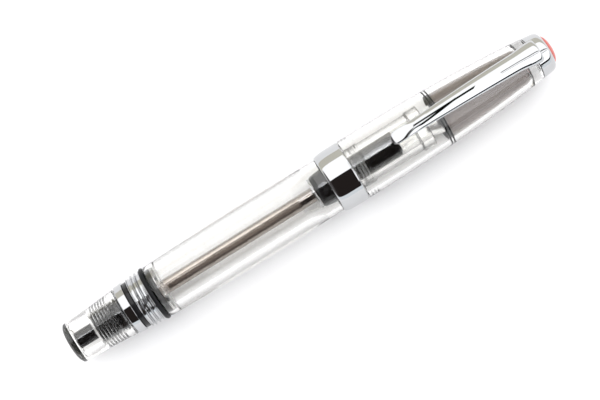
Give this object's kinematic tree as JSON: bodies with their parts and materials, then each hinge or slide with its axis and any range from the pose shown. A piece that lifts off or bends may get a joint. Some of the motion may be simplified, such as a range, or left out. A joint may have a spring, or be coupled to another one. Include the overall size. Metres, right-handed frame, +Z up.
{
  "type": "fountain pen",
  "caption": "Clear vacuum-filling fountain pen, capped: screw cap with sprung clip and inner cap, bright band, nib and feed in a grip, and a plunger with a blind knob.",
  "frame": {"origin": "on the surface that the pen lies on, under the middle of its length", "axes": "+X along the pen's axis towards the cap's finial, +Y across it, +Z up through the clip"},
  "size_m": [0.1454, 0.0168, 0.0186],
  "materials": {
    "clear": "clear polished",
    "smoke": "smoky translucent",
    "chrome": "mirror polished",
    "steel": "fine turned",
    "black_plastic": "glossy black",
    "black_rubber": "satin black",
    "red_resin": "glossy red"
  },
  "bodies": {
    "barrel": {"barrel": "clear", "mechanism_body": "black_plastic", "rear_bush": "chrome", "posting_o_ring": "black_rubber", "gland": "black_rubber", "rod_o_ring": "black_rubber", "gland_retainer": "clear", "section": "clear", "section_o_ring": "black_rubber", "nib_housing": "black_plastic", "feed": "black_plastic", "nib": "steel"},
    "plunger": {"plunger_rod": "steel", "piston_washer": "chrome", "piston_seal": "black_rubber", "piston_nut": "steel"},
    "knob": {"knob_shell": "clear", "knob_core": "black_plastic"},
    "cap_liner": {"inner_cap": "smoke", "inner_cap_o_ring": "black_rubber"},
    "cap": {"cap_tube": "clear", "cap_band": "chrome", "clip_collar": "chrome", "finial_disc": "red_resin"},
    "clip": {"clip": "chrome"}
  },
  "joints": [
    {"name": "plunger_pull", "type": "slide", "parent": "barrel", "child": "plunger", "axis": [-1, 0, 0], "range_m": [0, 0.044]},
    {"name": "knob_turn", "type": "hinge", "parent": "plunger", "child": "knob", "pos_m": [-0.06475, 0, 0.0084], "axis": [-1, 0, 0], "continuous": true},
    {"name": "cap_pull", "type": "slide", "parent": "barrel", "child": "cap_liner", "axis": [1, 0, 0], "range_m": [0, 0.07]},
    {"name": "cap_turn", "type": "hinge", "parent": "cap_liner", "child": "cap", "pos_m": [0.00555, 0, 0.0084], "axis": [1, 0, 0], "range_deg": [0, 540]},
    {"name": "clip_flex", "type": "hinge", "parent": "cap", "child": "clip", "pos_m": [0.0686, 0, 0.01435], "axis": [0, 1, 0], "range_deg": [0, 4], "stiffness_Nm_per_rad": 2}
  ]
}
